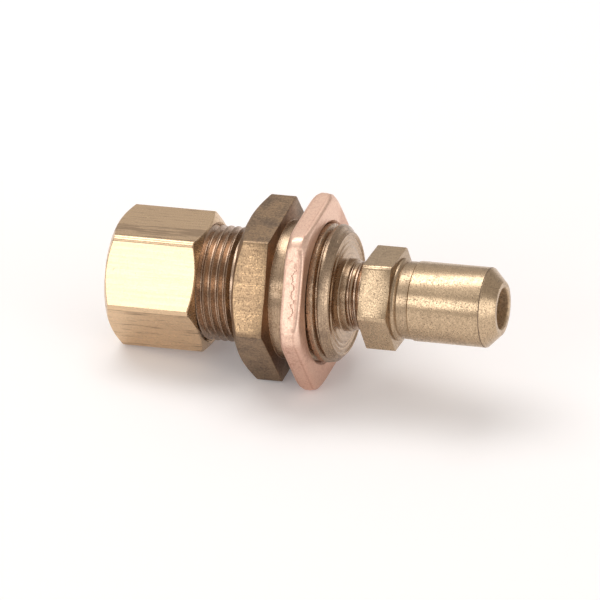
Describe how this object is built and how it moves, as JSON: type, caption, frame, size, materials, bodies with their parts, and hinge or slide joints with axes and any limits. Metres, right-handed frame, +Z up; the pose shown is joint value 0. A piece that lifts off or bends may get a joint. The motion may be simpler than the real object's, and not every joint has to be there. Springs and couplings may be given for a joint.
{
  "type": "burner orifice fitting",
  "caption": "Brass bulkhead gas fitting with a compression nut and ferrule for the supply tube, a thin panel locknut and a hood orifice with a cone nose.",
  "frame": {"origin": "on the fitting's axis, in the plane of the body's panel seat", "axes": "+X along the axis towards the hood's nose, the way the gas flows; +Z up, square to one pair of the locknut's flats"},
  "size_m": [0.0547, 0.0274, 0.0238],
  "materials": {
    "body_brass": "machined, with a brown patina on the hex and the threads",
    "nut_brass": "bright drawn brass",
    "hood_brass": "fine turned satin",
    "copper_tone": "tumbled, copper pink"
  },
  "bodies": {
    "body": {"bulkhead_body": "body_brass"},
    "ferrule": {"ferrule": "nut_brass"},
    "nut": {"compression_nut": "nut_brass"},
    "locknut": {"locknut": "copper_tone"},
    "hood": {"hood_orifice": "hood_brass"}
  },
  "joints": [
    {"name": "ferrule_travel", "type": "slide", "parent": "body", "child": "ferrule", "axis": [-1, 0, 0], "range_m": [-0.00185, 0.00497]},
    {"name": "nut_turn", "type": "hinge", "parent": "ferrule", "child": "nut", "pos_m": [-0.02, 0, 0], "axis": [-1, 0, 0], "range_deg": [-630, 1690]},
    {"name": "locknut_turn", "type": "hinge", "parent": "body", "child": "locknut", "pos_m": [0.004, 0, 0], "axis": [1, 0, 0], "range_deg": [-600, 1210]},
    {"name": "hood_turn", "type": "hinge", "parent": "body", "child": "hood", "pos_m": [0.02, 0, 0], "axis": [1, 0, 0], "range_deg": [0, 1543]}
  ],
  "couplings": [
    {"joint": "ferrule_travel", "follows": "nut_turn", "m_per_rad": 0.00016839}
  ]
}
